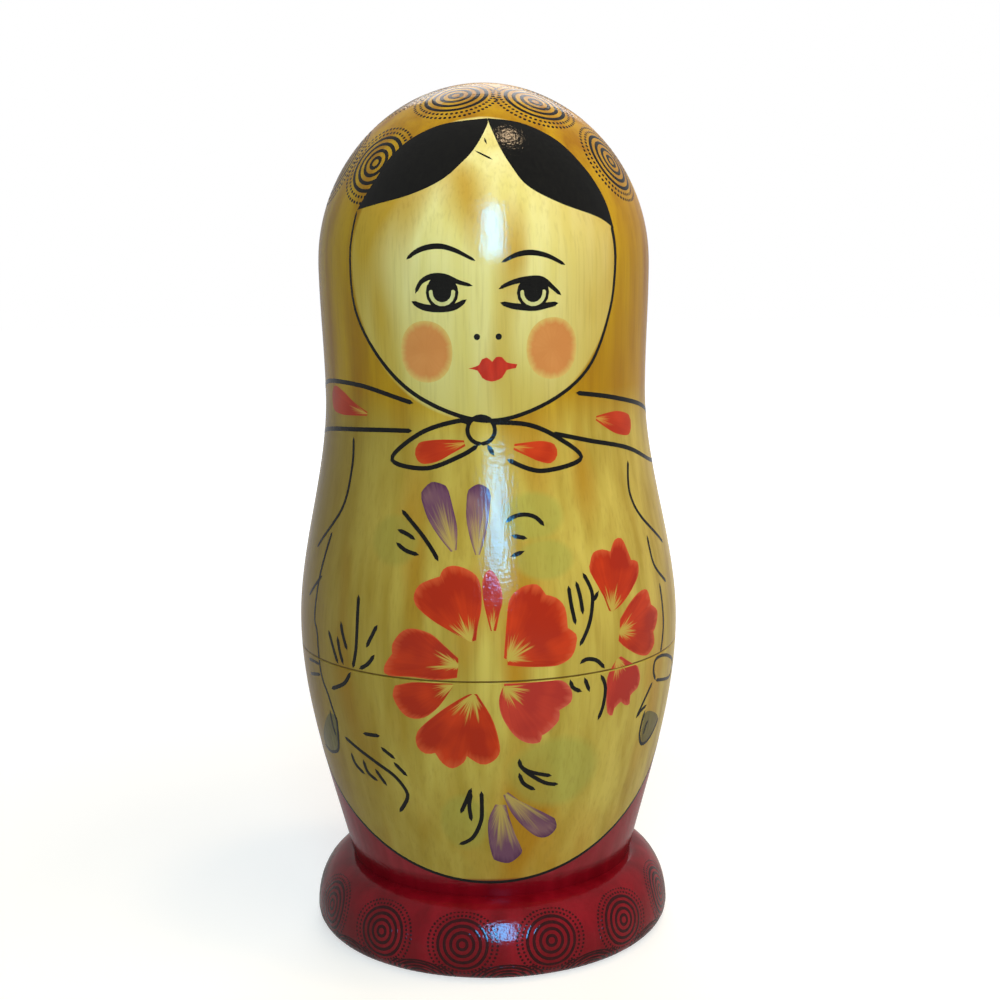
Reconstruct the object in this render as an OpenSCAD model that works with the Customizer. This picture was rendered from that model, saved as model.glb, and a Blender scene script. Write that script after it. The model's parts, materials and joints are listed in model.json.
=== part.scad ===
// Matryoshka: a set of nested dolls turned from limewood.
// Every doll but the smallest is hollow and opens at its belly, where a spigot
// ring on the bottom half stands in a socket in the top half. All dolls share one
// outline, and each is turned to the largest size that passes the neck of the
// doll around it. The largest bottom half also carries a flared foot.
// Heights of the outline are measured from the crease between the foot and the body.

/* [Set] */
// Most dolls in the set, with the solid one in the middle
dolls = 10; // [3:1:10]
// Least height of a doll that can still be turned
least_h = 15; // [10:0.5:30]

/* [Outline] */
// Height of the largest doll's body above the crease
body_h = 228.7; // [215:0.1:245]
// Diameter at the crease, which is also the base of the inner dolls
crease_d = 84.8; // [80:0.1:90]
// How fast the skirt widens above the crease, in mm outwards per mm upwards
skirt_slope = 0.245; // [0.1:0.005:0.35]
// Height of the widest point of the belly
belly_z = 72.2; // [68.5:0.1:80]
// Diameter of the belly
belly_d = 112.7; // [108:0.1:118]
// Height of the narrowest point of the neck
neck_z = 140.4; // [130:0.1:150]
// Diameter of the neck
neck_d = 94; // [90:0.1:97]
// Height of the widest point of the head
head_z = 177.9; // [165:0.1:190]
// Diameter of the head
head_d = 96.1; // [94:0.1:100]
// Roundness of the crown: 2 is an ellipse, less is more pointed
crown_power = 1.96; // [1.7:0.01:2.3]

/* [Foot of the largest doll] */
// Height of the foot up to the crease
foot_h = 21.3; // [14:0.1:28]
// Widest diameter of the foot
foot_d = 107.2; // [100:0.1:114]
// Height of the widest point of the foot
foot_bulge_z = 5; // [3:0.1:9]
// Diameter of the flat face that the doll stands on
rest_d = 96.8; // [84:0.1:98]

/* [Seam between the halves] */
// Height of the seam
seam_z = 66.6; // [62:0.1:68.4]
// Height of the spigot ring on the largest doll
spigot_h_big = 12; // [8:0.1:16]
// Height that the spigot rings of the smallest dolls tend to
spigot_h_small = 2; // [1.5:0.1:3]
// Radial clearance of the largest spigot in its socket
fit_big = 0.15; // [0.1:0.01:0.3]
// Radial clearance that the smallest spigots tend to
fit_small = 0.1; // [0.08:0.01:0.15]
// Free height above the largest spigot in its socket
socket_end_gap = 0.6; // [0.4:0.1:1]
// Chamfer on both rims at the seam, which shows as a fine groove
rim_chamfer = 0.3; // [0.1:0.05:0.5]

/* [Wood] */
// Wall of the largest doll
wall_big = 4.5; // [3.5:0.1:5]
// Wall that the smallest dolls tend to
wall_small = 1.6; // [1.2:0.1:1.8]
// Wood at the top of the largest head
crown_wall_big = 7; // [5:0.1:9]
// Wood at the top of the head that the smallest dolls tend to
crown_wall_small = 2; // [1.5:0.1:3]
// Floor of the largest doll, above the crease
floor_big = 8; // [6:0.1:10]
// Floor that the smallest dolls tend to
floor_small = 2; // [1.5:0.1:3]
// Rounding of the inside corner at the largest floor
corner_round = 2.5; // [1:0.1:3]
// Rounding of the base edge on an inner doll of full size
base_round = 1.6; // [0.5:0.1:2.5]

/* [Room between the dolls] */
// Radial gap between the largest doll and the doll inside it
gap_big = 1; // [0.8:0.05:1.5]
// Radial gap that the smallest dolls tend to
gap_small = 0.3; // [0.3:0.05:0.5]

/* [Hidden] */
$fn = 128;

// Steps along a curved stretch of an outline
side_steps = 14;
arc_steps = 5;
crown_steps = 14;

// Floors are turned to this step, so that each doll stands flat on the floor below it
floor_step = 0.01;

// Least share of the wall that the spigot and the socket need together
rim_share = 1.1;

belly_r = belly_d / 2;
neck_r = neck_d / 2;
head_r = head_d / 2;
crease_r = crease_d / 2;
foot_r = foot_d / 2;
rest_r = rest_d / 2;

// Sizes that shrink with the dolls, from the value for scale 1 to that for scale 0
function between(small, big, s) = small + (big - small) * s;
function wall(s) = between(wall_small, wall_big, s);
function crown_wall(s) = between(crown_wall_small, crown_wall_big, s);
function floor_h(s) = floor_step * round(between(floor_small, floor_big, s) / floor_step);
function spigot_h(s) = between(spigot_h_small, spigot_h_big, s);
function fit(s) = between(fit_small, fit_big, s);
function gap(s) = between(gap_small, gap_big, s);

// Outline of a doll of scale 1 below its head, as a radius at a height
function ease(a, b, t) = a + (b - a) * t * t * (3 - 2 * t);
function skirt_r(t) =
    ease(belly_r, crease_r, t) + t * t * (1 - t) * skirt_slope * belly_z;
function side_r(z) =
    z >= neck_z ? ease(neck_r, head_r, (z - neck_z) / (head_z - neck_z)) :
    z >= belly_z ? ease(belly_r, neck_r, (z - belly_z) / (neck_z - belly_z)) :
    skirt_r((belly_z - z) / belly_z);

// Points of the outline between two heights, drawn in by a wall thickness
function side(s, low, high, steps, inset = 0) = [
    for (i = [0 : steps])
        let (z = low + (high - low) * i / steps)
            [side_r(z / s) * s - inset, z]
];

// Points of the crown from the widest point of the head to the top
function crown(r, low, high) = [
    for (i = [1 : crown_steps])
        let (a = 90 * i / crown_steps)
            [r * (1 - sin(a) ^ crown_power) ^ (1 / crown_power), low + (high - low) * sin(a)]
];

// Points of a quarter round in a corner, from the wall down to the floor
function corner(r, z, round) = [
    for (i = [0 : arc_steps])
        let (a = 90 * i / arc_steps)
            [r - round + round * cos(a), z + round - round * sin(a)]
];

// Scale of each doll: its head passes the neck of the doll around it, and its belly passes the spigot
function inner_scale(s) = min(
    (neck_r * s - wall(s) - gap(s)) / head_r,
    (side_r(seam_z) * s - rim_share * wall(s) - gap(s)) / belly_r);
function nest(s, places) =
    places == 0 || body_h * s < least_h ? [] : concat([s], nest(inner_scale(s), places - 1));
scales = nest(1, dolls);
seed = len(scales) - 1;

// Height of each doll's base: it stands on the floor of the doll around it
function base_z(k) = k == 0 ? foot_h : base_z(k - 1) + floor_h(scales[k - 1]);

// Rim of a hollow doll: the spigot's inside clears the next belly, and its outside lies in mid-wall
function spigot_in_r(s) = belly_r * inner_scale(s) + gap(s);
function spigot_r(s) = (side_r(seam_z) * s + spigot_in_r(s)) / 2;

// Height at which the hollowed skirt is as wide as the spigot's inside
function straight_z(s, low, high, tries = 24) =
    let (mid = (low + high) / 2)
        tries == 0 ? mid :
        side_r(mid / s) * s - wall(s) < spigot_in_r(s) ? straight_z(s, mid, high, tries - 1) :
        straight_z(s, low, mid, tries - 1);

// Foot of the largest doll, from the resting face up to the crease
function foot_outline() = concat(
    [[0, -foot_h]],
    [for (i = [0 : arc_steps])
        let (a = 90 * i / arc_steps)
            [rest_r + (foot_r - rest_r) * sin(a), -foot_h + foot_bulge_z * (1 - cos(a))]],
    [for (i = [1 : side_steps - 1])
        let (a = 90 * i / side_steps)
            [crease_r + (foot_r - crease_r) * cos(a),
             -foot_h + foot_bulge_z + (foot_h - foot_bulge_z) * sin(a)]]);

// Rounded base edge of an inner doll
function base_outline(s) = concat(
    [[0, 0]],
    [for (i = [0 : arc_steps - 1])
        let (a = 90 * i / arc_steps)
            [crease_r * s - base_round * s * (1 - sin(a)), base_round * s * (1 - cos(a))]]);

// Hollow of a bottom half, from the rim of its spigot down to the middle of its floor
function cup_inside(s) =
    let (rim_z = seam_z * s + spigot_h(s),
         straight = straight_z(s, 0, belly_z * s),
         corner_r = side_r((floor_h(s) + corner_round * s) / s) * s - wall(s),
         skirt = side(s, straight, floor_h(s) + corner_round * s, side_steps, wall(s)))
        concat(
            [[spigot_in_r(s), rim_z]],
            [for (i = [0 : side_steps - 1]) skirt[i]],
            corner(corner_r, floor_h(s), corner_round * s),
            [[0, floor_h(s)]]);

// Bottom half of doll k, standing on its own base
module bottom_half(k) {
    s = scales[k];
    seam = seam_z * s;
    seam_r = side_r(seam_z) * s;
    skirt_start = k == 0 ? 0 : base_round * s;
    outside = concat(
        k == 0 ? foot_outline() : base_outline(s),
        side(s, skirt_start, seam - rim_chamfer * s, side_steps));
    rim = [
        [seam_r - rim_chamfer * s, seam],
        [spigot_r(s), seam],
        [spigot_r(s), seam + spigot_h(s) - fit(s)],
        [spigot_r(s) - fit(s), seam + spigot_h(s)]
    ];
    rotate_extrude()
        polygon(concat(outside, rim, cup_inside(s)));
}

// Top half of doll k, in place on its bottom half
module top_half(k) {
    s = scales[k];
    seam = seam_z * s;
    seam_r = side_r(seam_z) * s;
    socket_r = spigot_r(s) + fit(s);
    ledge = seam + spigot_h(s) + socket_end_gap * s;
    head = head_z * s;
    top = body_h * s;
    outside = concat(
        [[seam_r - rim_chamfer * s, seam]],
        side(s, seam + rim_chamfer * s, head, 2 * side_steps),
        crown(head_r * s, head, top));
    inside = concat(
        [[socket_r, seam], [socket_r, ledge]],
        side(s, ledge, head, 2 * side_steps, wall(s)),
        crown(head_r * s - wall(s), head, top - crown_wall(s)));
    rotate_extrude()
        polygon(concat(outside, [for (i = [len(inside) - 1 : -1 : 0]) inside[i]]));
}

// Smallest doll, turned in one piece
module solid_doll(s) {
    rotate_extrude()
        polygon(concat(
            base_outline(s),
            side(s, base_round * s, head_z * s, 3 * side_steps),
            crown(head_r * s, head_z * s, body_h * s)));
}

function doll_name(k) = str("doll_", k < 9 ? "0" : "", k + 1);

module doll_bottom(k) {
    color(k == 0 ? "firebrick" : "indianred")
        translate([0, 0, base_z(k)])
            bottom_half(k);
}

module doll_top(k) {
    color(k == 0 ? "goldenrod" : "khaki")
        translate([0, 0, base_z(k)])
            top_half(k);
}

module seed_doll() {
    color("khaki")
        translate([0, 0, base_z(seed)])
            solid_doll(scales[seed]);
}

for (k = [0 : seed - 1]) {
    doll_bottom(k);
    doll_top(k);
}
seed_doll();
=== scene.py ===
# %% [markdown]
# A matryoshka is a family of hollow dolls turned from limewood, painted and lacquered.
# Each doll opens at the belly and holds the next one. This lesson dresses the ten dolls
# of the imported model: it turns smooth bodies on the model's own outlines, then paints
# the largest doll as the photograph shows it and repeats the painting on the inner ones.

# %% Load the frame
import bisect
import json
import math

import bmesh
import bpy
from mathutils import Matrix, Vector

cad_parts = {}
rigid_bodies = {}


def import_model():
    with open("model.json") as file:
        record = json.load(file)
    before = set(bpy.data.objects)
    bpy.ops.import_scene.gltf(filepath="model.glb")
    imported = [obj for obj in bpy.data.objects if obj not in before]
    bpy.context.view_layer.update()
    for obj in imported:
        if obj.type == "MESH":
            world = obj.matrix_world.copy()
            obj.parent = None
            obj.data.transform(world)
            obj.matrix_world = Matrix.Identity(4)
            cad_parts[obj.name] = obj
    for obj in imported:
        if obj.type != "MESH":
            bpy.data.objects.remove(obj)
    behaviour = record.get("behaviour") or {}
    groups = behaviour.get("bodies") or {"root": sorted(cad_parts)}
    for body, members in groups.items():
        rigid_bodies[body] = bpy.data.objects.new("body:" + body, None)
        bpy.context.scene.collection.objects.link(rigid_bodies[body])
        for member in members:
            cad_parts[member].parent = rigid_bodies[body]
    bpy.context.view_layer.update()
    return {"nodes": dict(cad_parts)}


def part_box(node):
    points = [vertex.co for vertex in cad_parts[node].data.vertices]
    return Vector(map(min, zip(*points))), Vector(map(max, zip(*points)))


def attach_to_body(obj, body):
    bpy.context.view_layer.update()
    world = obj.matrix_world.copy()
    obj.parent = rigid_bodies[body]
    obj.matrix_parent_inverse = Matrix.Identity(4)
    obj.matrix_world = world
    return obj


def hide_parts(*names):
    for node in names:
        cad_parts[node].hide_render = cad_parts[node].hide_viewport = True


for start_object in list(bpy.data.objects):
    bpy.data.objects.remove(start_object)
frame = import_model()
MM = 0.001
lower_halves = sorted(name for name in frame["nodes"] if name.endswith("_bottom"))
print("dolls that open:", len(lower_halves), "and one solid doll")

# %% [markdown]
# Two small helpers serve every node tree. One adds a node, sets it and links it.
# The other turns a colour written as sRGB hex into the linear numbers that shaders use.


# %% Helpers for nodes and colours
def add(tree, kind, sockets=None, **settings):
    """Add a node with its settings, and set or link its inputs by name or number."""
    node = tree.nodes.new(kind)
    for name, value in settings.items():
        setattr(node, name, value)
    for key, value in (sockets or {}).items():
        socket = node.inputs[key] if isinstance(key, int) else next(
            s for s in node.inputs if s.enabled and s.name == key)
        if isinstance(value, bpy.types.Node):
            value = next(s for s in value.outputs if s.enabled)
        if isinstance(value, bpy.types.NodeSocket):
            tree.links.new(value, socket)
        else:
            socket.default_value = linear(value) if str(value).startswith("#") else value
    return node


def linear(colour):
    """sRGB hex to linear RGBA."""
    parts = [int(colour[i:i + 2], 16) / 255 for i in (1, 3, 5)]
    return [c / 12.92 if c <= 0.04045 else ((c + 0.055) / 1.055) ** 2.4 for c in parts] + [1.0]


print("mid grey is", round(linear("#808080")[0], 3), "in linear light")

# %% [markdown]
# The photograph was taken from close by, a little above the doll's shoulders and looking
# slightly down, so the foot looks smaller than it is. The camera's place and lens were
# worked out from the doll's own outline in the picture.

# %% Camera
CAMERA_BACK = 491.1 * MM
CAMERA_UP = 210.5 * MM
LENS = 59.93
PITCH = -0.1653
YAW = 0.0079
ROLL = -0.0127
NEAREST = 10 * MM

ahead = Vector((math.sin(YAW), math.cos(YAW), 0))
aside = Vector((math.cos(YAW), -math.sin(YAW), 0))
look = ahead * math.cos(PITCH) + Vector((0, 0, math.sin(PITCH)))
over = ahead * -math.sin(PITCH) + Vector((0, 0, math.cos(PITCH)))
right = aside * math.cos(ROLL) + over * math.sin(ROLL)
upward = over * math.cos(ROLL) - aside * math.sin(ROLL)
camera = bpy.data.objects.new("camera", bpy.data.cameras.new("camera"))
camera.data.lens = LENS
camera.data.clip_start = NEAREST
camera.matrix_world = Matrix((right, upward, -look)).transposed().to_4x4()
camera.location = (0, -CAMERA_BACK, CAMERA_UP)
bpy.context.scene.collection.objects.link(camera)
bpy.context.scene.camera = camera
bpy.context.scene.view_settings.view_transform = "Standard"
print("camera", round(CAMERA_BACK / MM), "mm away, lens", LENS, "mm")

# %% [markdown]
# Every piece is turned, so one line from the axis to the axis says all of its shape.
# The line could be typed in again from the part's source. It is read off the packed
# solid instead, along the seam where its cones close, so it always fits the frame.
# The solid has straight steps, so a curve is laid through its points between corners.

# %% Outlines of the turned pieces
ON_PLANE = 2e-6


def seam_line(node, from_top):
    """Points (radius, height) of a turned solid, from its outer end on the axis to its inner end."""
    mesh = frame["nodes"][node].data
    key = {}
    place = {}
    for v in mesh.vertices:
        if abs(v.co.y) < ON_PLANE and v.co.x > -ON_PLANE:
            key[v.index] = (round(v.co.x / MM, 2), round(v.co.z / MM, 2))
            place[key[v.index]] = Vector((max(v.co.x, 0), v.co.z))
    near = {k: set() for k in place}
    for face in mesh.polygons:
        corners = list(face.vertices)
        for a, b in zip(corners, corners[1:] + corners[:1]):
            if a in key and b in key and key[a] != key[b]:
                near[key[a]].add(key[b])
                near[key[b]].add(key[a])
    ends = sorted((k for k in near if len(near[k]) == 1), key=lambda k: k[1], reverse=from_top)
    path = [ends[0]]
    seen = {ends[0]}
    while path[-1] != ends[1]:
        path.append(next(k for k in near[path[-1]] if k not in seen))
        seen.add(path[-1])
    line = [place[k] for k in path]
    if line[0].x > 0:
        line.insert(0, Vector((0, line[0].y)))
    if line[-1].x > 0:
        line.append(Vector((0, line[-1].y)))
    return line


print("largest top half:", len(seam_line("doll_01_top", True)), "points along its solid")

# %% A curve through an outline
CORNER = math.radians(24)
STRAIGHT = math.radians(0.03)
UNEVEN = 5
OUTSIDE_STEP = 2 * MM


def bend(a, b, c):
    """Angle by which a line turns at b."""
    return (b - a).angle(c - b)


def rounded(line, step):
    """Lay a curve through a line of points, with new points no further than a step apart."""
    inner = [b for a, b, c in zip(line, line[1:], line[2:]) if bend(a, b, c) > STRAIGHT]
    line = line[:1] + inner + line[-1:]
    stops = [0]
    for i in range(1, len(line) - 1):
        before = (line[i] - line[i - 1]).length
        after = (line[i + 1] - line[i]).length
        uneven = max(before, after) > UNEVEN * min(before, after)
        if uneven or bend(line[i - 1], line[i], line[i + 1]) > CORNER:
            stops.append(i)
    stops.append(len(line) - 1)
    curve = [line[0]]
    for first, last in zip(stops, stops[1:]):
        run = line[first:last + 1]
        if len(run) == 2:
            curve.append(run[1])
            continue
        gaps = [(b - a).length for a, b in zip(run, run[1:])]
        slopes = [(b - a) / g for a, b, g in zip(run, run[1:], gaps)]
        heads = [(s * h + t * g) / (g + h) for s, t, g, h in zip(slopes, slopes[1:], gaps, gaps[1:])]
        heads = [2 * slopes[0] - heads[0]] + heads + [2 * slopes[-1] - heads[-1]]
        for a, b, g, m, n in zip(run, run[1:], gaps, heads, heads[1:]):
            pieces = max(1, math.ceil(g / step))
            for j in range(1, pieces + 1):
                t = j / pieces
                ease = t * t * (3 - 2 * t)
                pull = m * (t * (1 - t) ** 2) + n * (t * t * (t - 1))
                curve.append(a + (b - a) * ease + pull * g)
    return curve


print("and", len(rounded(seam_line("doll_01_top", True), OUTSIDE_STEP)), "points along the curve")

# %% [markdown]
# A doll's outside is one line from its base to its crown, across the seam. Places on it
# are given as its painter would: degrees round from the front, and millimetres up along
# the surface from the crease above the foot, at the size of the largest doll.


# %% The ten dolls
def read_doll(low_node, high_node):
    """Outlines of a doll's halves and of its whole outside."""
    low = seam_line(low_node, False)
    if low_node == high_node:
        return {"pieces": {low_node: (low, len(low))}, "seam": None, "outside": low}
    high = seam_line(high_node, True)
    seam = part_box(high_node)[0].z
    low_end = next(i for i, p in enumerate(low) if p.y > seam - ON_PLANE)
    high_end = next(i for i, p in enumerate(high) if p.y < seam + ON_PLANE)
    pieces = {low_node: (low, low_end), high_node: (high, high_end)}
    return {"pieces": pieces, "seam": seam, "outside": low[:low_end] + high[:high_end][::-1]}


dolls = [read_doll(low, low.replace("_bottom", "_top")) for low in lower_halves]
dolls.append(read_doll("seed_doll", "seed_doll"))
largest = dolls[0]
foot = [p for p in largest["outside"] if p.y < largest["seam"]]
crease = max(range(1, len(foot) - 1), key=lambda i: bend(*foot[i - 1:i + 2]))
CREASE_Z = foot[crease].y
BODY_H = largest["outside"][-1].y - CREASE_Z


def lengths(line):
    """Distance along a line to each of its points."""
    far = [0.0]
    for a, b in zip(line, line[1:]):
        far.append(far[-1] + (b - a).length)
    return far


CROWN_UP = (lengths(largest["outside"])[-1] - lengths(foot)[crease]) / MM
for doll in dolls:
    line = doll["outside"]
    base = CREASE_Z if doll is largest else line[0].y
    doll["scale"] = (line[-1].y - base) / BODY_H
    doll["outside"] = rounded(line, OUTSIDE_STEP * doll["scale"])
    far = lengths(doll["outside"])
    doll["up"] = [CROWN_UP - (far[-1] - f) / MM / doll["scale"] for f in far]
print("scales", [round(doll["scale"], 3) for doll in dolls], "and", round(CROWN_UP, 1), "mm to the crown")


# %% Places on a doll
def spot(doll, turn, up, lift=0.0):
    """Point on a doll's outside, at degrees round from the front and millimetres up."""
    line = doll["outside"]
    ups = doll["up"]
    i = min(max(bisect.bisect_right(ups, up), 1), len(ups) - 1)
    a, b = line[i - 1], line[i]
    p = a.lerp(b, (up - ups[i - 1]) / (ups[i] - ups[i - 1]))
    out = Vector((b.y - a.y, a.x - b.x)).normalized() * lift
    angle = math.radians(turn)
    radius = p.x + out.x
    return Vector((radius * math.sin(angle), -radius * math.cos(angle), p.y + out.y))


print("halfway up in front, in mm:", [round(c / MM, 1) for c in spot(largest, 0, CROWN_UP / 2)])

# %% [markdown]
# Limewood is pale, close and nearly without figure, which is why turners and painters like
# it. The dolls are stained with thin dyes, painted, and dipped in clear lacquer, so the wood
# shows through and a gloss lies over everything. The lacquer follows the pores and the fine
# turned rings below it, which roughens the edges of a highlight. Real pores and rings are
# finer than they are drawn here, because at their true size they wouldn't show.
# Each painted finish is one material with the same lacquer. Its pattern is read from Object
# coordinates in metres, so a scale is one over a real size.

# %% Lacquer and wood
GRAIN_WIDE = 0.7 * MM
GRAIN_LONG = 22 * MM
GRAIN_DETAIL = 4.0
STROKE_WIDE = 7 * MM
STROKE_LONG = 60 * MM
BLOTCH_WIDE = 17.5 * MM
PORE_LONG = 5.5 * MM
PORE_DEEP = 0.055 * MM
RING_WIDE = 0.8 * MM
RING_LONG = 1.8 * MM
LACQUER = {"Roughness": 0.42, "Specular IOR Level": 0.0, "Coat Weight": 0.36, "Coat IOR": 1.4,
           "Coat Roughness": 0.1}


def finish(name, sockets):
    """Start a material: returns it with its tree, its shader and Object coordinates."""
    material = bpy.data.materials.new(name)
    material.use_nodes = True
    tree = material.node_tree
    shader = tree.nodes["Principled BSDF"]
    for key, value in sockets.items():
        shader.inputs[key].default_value = value
    return material, tree, shader, add(tree, "ShaderNodeTexCoord").outputs["Object"]


def streaks(tree, place, wide, long, detail=2.0):
    """Noise drawn out along the doll's axis, as the grain and the brush marks are."""
    size = (1 / wide, 1 / wide, 1 / long)
    drawn = add(tree, "ShaderNodeMapping", {"Vector": place, "Scale": size})
    return add(tree, "ShaderNodeTexNoise", {"Vector": drawn, "Scale": 1.0, "Detail": detail})


def lacquer_over(tree, shader, place):
    """Let the pores of the wood and the rings left by the chisel ripple the lacquer."""
    pores = streaks(tree, place, GRAIN_WIDE, PORE_LONG)
    rings = streaks(tree, place, RING_LONG, RING_WIDE)
    relief = add(tree, "ShaderNodeMath", {0: pores, 1: rings}, operation="ADD")
    ripple = add(tree, "ShaderNodeBump", {"Height": relief, "Strength": 1.0, "Distance": PORE_DEEP})
    tree.links.new(ripple.outputs[0], shader.inputs["Coat Normal"])


print("grain", GRAIN_WIDE / MM, "mm wide, brush marks", STROKE_WIDE / MM, "mm wide")

# %% [markdown]
# The zones also carry painted shade: the dress darker on the left and low in front, the face darker below and
# at its sides, and a dark band along the seam.
# The ground of the doll is one coat with soft zones: a straw-pale face, an amber kerchief,
# a golden dress, and red dye below the apron's edge that darkens to crimson over the foot.
# Separate meshes for the zones would leave edges in the wood, so the zones are drawn in the
# material. They use the angle round the axis and a height that each turned piece carries as
# an attribute, which is why one material fits dolls of every size.

# %% Zones of the ground
FACE_TURN = 48.5
FACE_UP = 182.0
FACE_HALF = 43.0
FACE_RIM = (1.02, 0.98)
APRON_LOW = 4.9
APRON_RISE = 0.0046
APRON_TOP = 88.0
APRON_SOFT = 0.5
SEAM_UP = next(u for u, p in zip(largest["up"], largest["outside"]) if p.y > largest["seam"])
# Half width in mm of a dark band painted along the seam as shade in the groove between the halves
SEAM_SHADE_BAND = 0.25
# Each wash of green is an oval: its middle in degrees and mm up, and its halves in the same measures
GREEN_WASHES = ((14, 113, 10, 6.5), (17, 101, 9, 5.5), (20, 40, 15, 11), (-29, 106, 8, 7), (-9, 25, 8, 9))
WASH_RIM = (1.2, 0.7)
WASH_STRENGTH = 0.6
# Each fade runs along a measure, from where it starts to where it is full, up to a strength
FADES = {
    "kerchief": ("up", 134.0, 146.0, 1.0),
    "foot": ("up", 6.3, 5.3, 1.0),
    # chin and temple are painted shade: the face darker below and towards its sides
    "chin_shade": ("up", 185.0, 142.0, 0.75),
    "temple_shade": ("aside", 18.0, 48.0, 0.65),
    # left, low and middle are painted shade: the dress darker on the left, and towards the bottom except on
    # the right
    "left": ("turn", 5.0, -70.0, 0.8),
    "low": ("up", 60.0, 15.0, 0.3),
    "middle": ("turn", 22.0, 2.0, 0.3)}


def apron_edge(turn):
    """Height of the apron's edge: lowest in front, up round the sides and level at the back."""
    return min(APRON_LOW + APRON_RISE * turn * turn, APRON_TOP)


def oval_on(tree, turn, up, middle, halves):
    """Nodes for an oval on the surface: 0 in its middle and 1 on its rim."""
    total = 0.0
    for value, centre, half in zip((turn, up), middle, halves):
        part = add(tree, "ShaderNodeMath", {0: value, 1: centre}, operation="SUBTRACT")
        part = add(tree, "ShaderNodeMath", {0: part, 1: half}, operation="DIVIDE")
        total = add(tree, "ShaderNodeMath", {0: part, 1: part, 2: total}, operation="MULTIPLY_ADD")
    return total


print("the apron's edge rises from", apron_edge(0), "to", APRON_TOP, "mm up")

# %% Where the zones lie
outside_coat, tree, shader, place = finish("dyed_limewood_with_painted_shade", LACQUER)
lacquer_over(tree, shader, place)
axis = add(tree, "ShaderNodeSeparateXYZ", {0: place})
front = add(tree, "ShaderNodeMath", {0: axis.outputs[1], 1: -1.0}, operation="MULTIPLY")
angle = add(tree, "ShaderNodeMath", {0: axis.outputs[0], 1: front}, operation="ARCTAN2")
turn = add(tree, "ShaderNodeMath", {0: angle}, operation="DEGREES")
aside = add(tree, "ShaderNodeMath", {0: turn}, operation="ABSOLUTE")
up = add(tree, "ShaderNodeAttribute", attribute_name="up").outputs["Fac"]
marks = streaks(tree, place, STROKE_WIDE, STROKE_LONG)
marks = add(tree, "ShaderNodeMapRange", {"Value": marks, "From Min": 0.35, "From Max": 0.68})
blotch = streaks(tree, place, BLOTCH_WIDE, STROKE_LONG, 1.0)
blotch = add(tree, "ShaderNodeMapRange", {"Value": blotch, "From Min": 0.5, "From Max": 0.7})
grain = streaks(tree, place, GRAIN_WIDE, GRAIN_LONG, GRAIN_DETAIL)
grain = add(tree, "ShaderNodeMapRange", {"Value": grain, "From Min": 0.5, "From Max": 0.8, "To Max": 0.2})

measures = {"turn": turn, "aside": aside, "up": up}
zone = {}
for name, (measure, start, full, strength) in FADES.items():
    zone[name] = add(tree, "ShaderNodeMapRange", {"Value": measures[measure], "From Min": start,
                                                  "From Max": full, "To Max": strength})
# Painted shade on the dress: darker on the left, and darker towards the bottom except on the right
low = add(tree, "ShaderNodeMath", {0: zone["low"], 1: zone["middle"]}, operation="MINIMUM")
amber = add(tree, "ShaderNodeMath", {0: zone["left"], 1: low}, operation="MAXIMUM")
oval = oval_on(tree, turn, up, (0.0, FACE_UP), (FACE_TURN, FACE_HALF))
oval = add(tree, "ShaderNodeMapRange", {"Value": oval, "From Min": FACE_RIM[0], "From Max": FACE_RIM[1]})
edge = add(tree, "ShaderNodeMath", {0: turn, 1: 2.0}, operation="POWER")
edge = add(tree, "ShaderNodeMath", {0: edge, 1: APRON_RISE, 2: APRON_LOW}, operation="MULTIPLY_ADD")
edge = add(tree, "ShaderNodeMath", {0: edge, 1: APRON_TOP}, operation="MINIMUM")
below = add(tree, "ShaderNodeMath", {0: edge, 1: up}, operation="SUBTRACT")
below = add(tree, "ShaderNodeMapRange", {"Value": below, "From Min": -APRON_SOFT, "From Max": APRON_SOFT})
# Painted shade along the seam: a dark band in the groove where the halves meet
seam = add(tree, "ShaderNodeMath", {0: up, 1: SEAM_UP, 2: SEAM_SHADE_BAND}, operation="COMPARE")
print("fades on the ground:", list(zone))

# %% Dyed and lacquered limewood, with painted shade
# The light and the deep tone of each dye, which the brush marks mix
DYES = {
    "dress": ("#cdb354", "#ab8d32"),
    "scarf": ("#c0920e", "#a26e02"),
    "face": ("#eee0a0", "#e2ce7c"),
    "red": ("#7e0c16", "#981e2a"),
    "crimson": ("#6e0410", "#860c1a")}
# Colours of real stains of the wood, and of painted shade: on the dress's left and low in front, on the face
# below and at its sides, and along the seam
STAINS_AND_SHADE = {
    "blotch": "#b27a12", "green": "#a29c46", "amber": "#8a6410", "face_blotch": "#c29430", "chin_shade": "#bfa850",
    "temple_shade": "#c49c2c", "seam_shade": "#6a4e1c", "grain": "#8a5a20"}

dye = {}
for name, (light, deep) in DYES.items():
    dye[name] = add(tree, "ShaderNodeMix", {"Factor": marks, "A": light, "B": deep}, data_type="RGBA")
stains_and_shade = [("dress", blotch, STAINS_AND_SHADE["blotch"])]
for turn_at, up_at, wide, tall in GREEN_WASHES:
    wash = oval_on(tree, turn, up, (turn_at, up_at), (wide, tall))
    wash = add(tree, "ShaderNodeMapRange", {"Value": wash, "From Min": WASH_RIM[0], "From Max": WASH_RIM[1],
                                            "To Max": WASH_STRENGTH})
    stains_and_shade.append(("dress", wash, STAINS_AND_SHADE["green"]))
# The amber colour laid here is painted shade on the dress, not a stain
stains_and_shade += [("dress", amber, STAINS_AND_SHADE["amber"]), ("face", blotch, STAINS_AND_SHADE["face_blotch"]),
           # The chin and temple colours are painted shade on the face
           ("face", zone["chin_shade"], STAINS_AND_SHADE["chin_shade"]), ("face", zone["temple_shade"], STAINS_AND_SHADE["temple_shade"])]
for name, where, colour in stains_and_shade:
    dye[name] = add(tree, "ShaderNodeMix", {"Factor": where, "A": dye[name], "B": colour}, data_type="RGBA")
coat = dye["dress"]
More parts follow.
